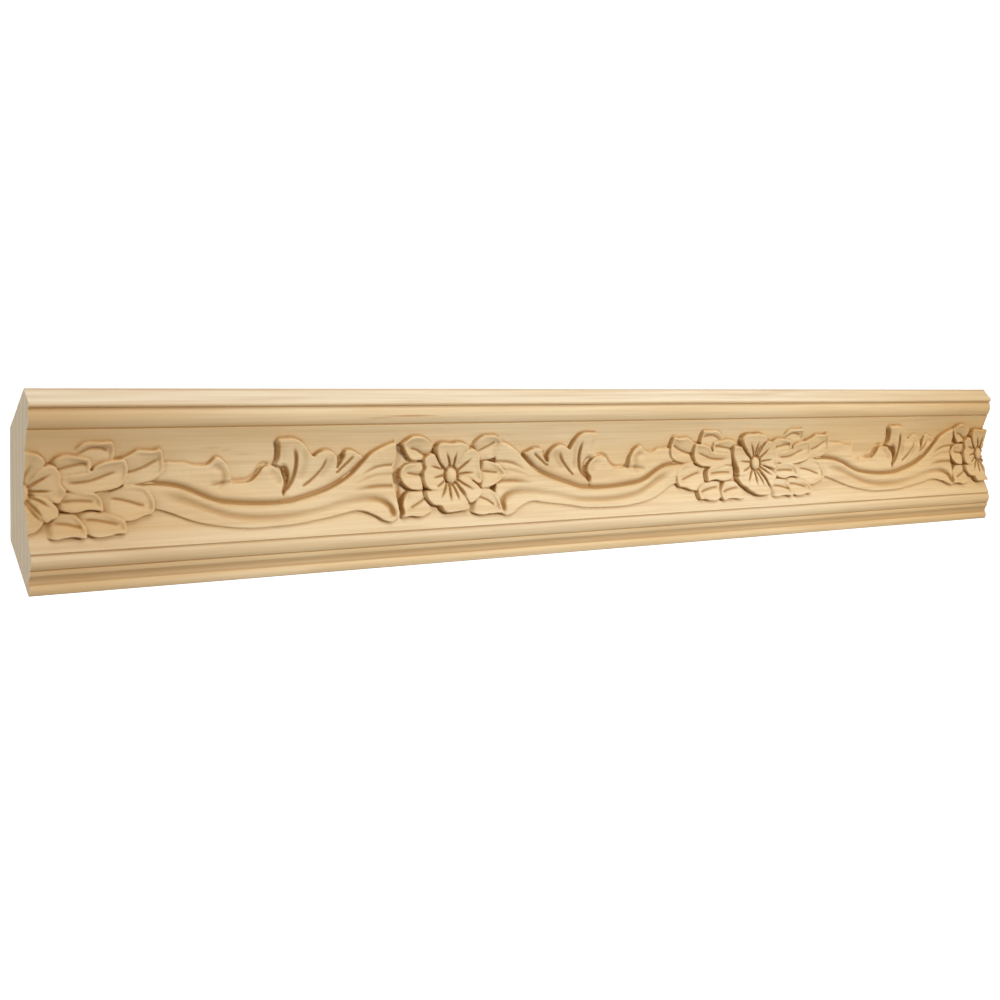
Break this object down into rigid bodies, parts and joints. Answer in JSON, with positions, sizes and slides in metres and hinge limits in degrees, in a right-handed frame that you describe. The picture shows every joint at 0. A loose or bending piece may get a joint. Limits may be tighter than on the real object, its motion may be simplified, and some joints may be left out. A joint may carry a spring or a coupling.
{
  "type": "carved crown moulding",
  "caption": "Length of crown moulding cut square at both ends, its coved face carved with flowers, leaves and flowing stems between run beads and quirks",
  "frame": {"origin": "the middle of the flat back, at half the length", "axes": "+X along the length, +Y out of the flat back towards what carries it, +Z across the face from the wall bevel to the ceiling bevel"},
  "size_m": [0.9144, 0.0347, 0.1206],
  "materials": {
    "pale_softwood": "bare sanded softwood, unfinished"
  },
  "bodies": {
    "root": {"carved_moulding": "pale_softwood"}
  },
  "joints": []
}
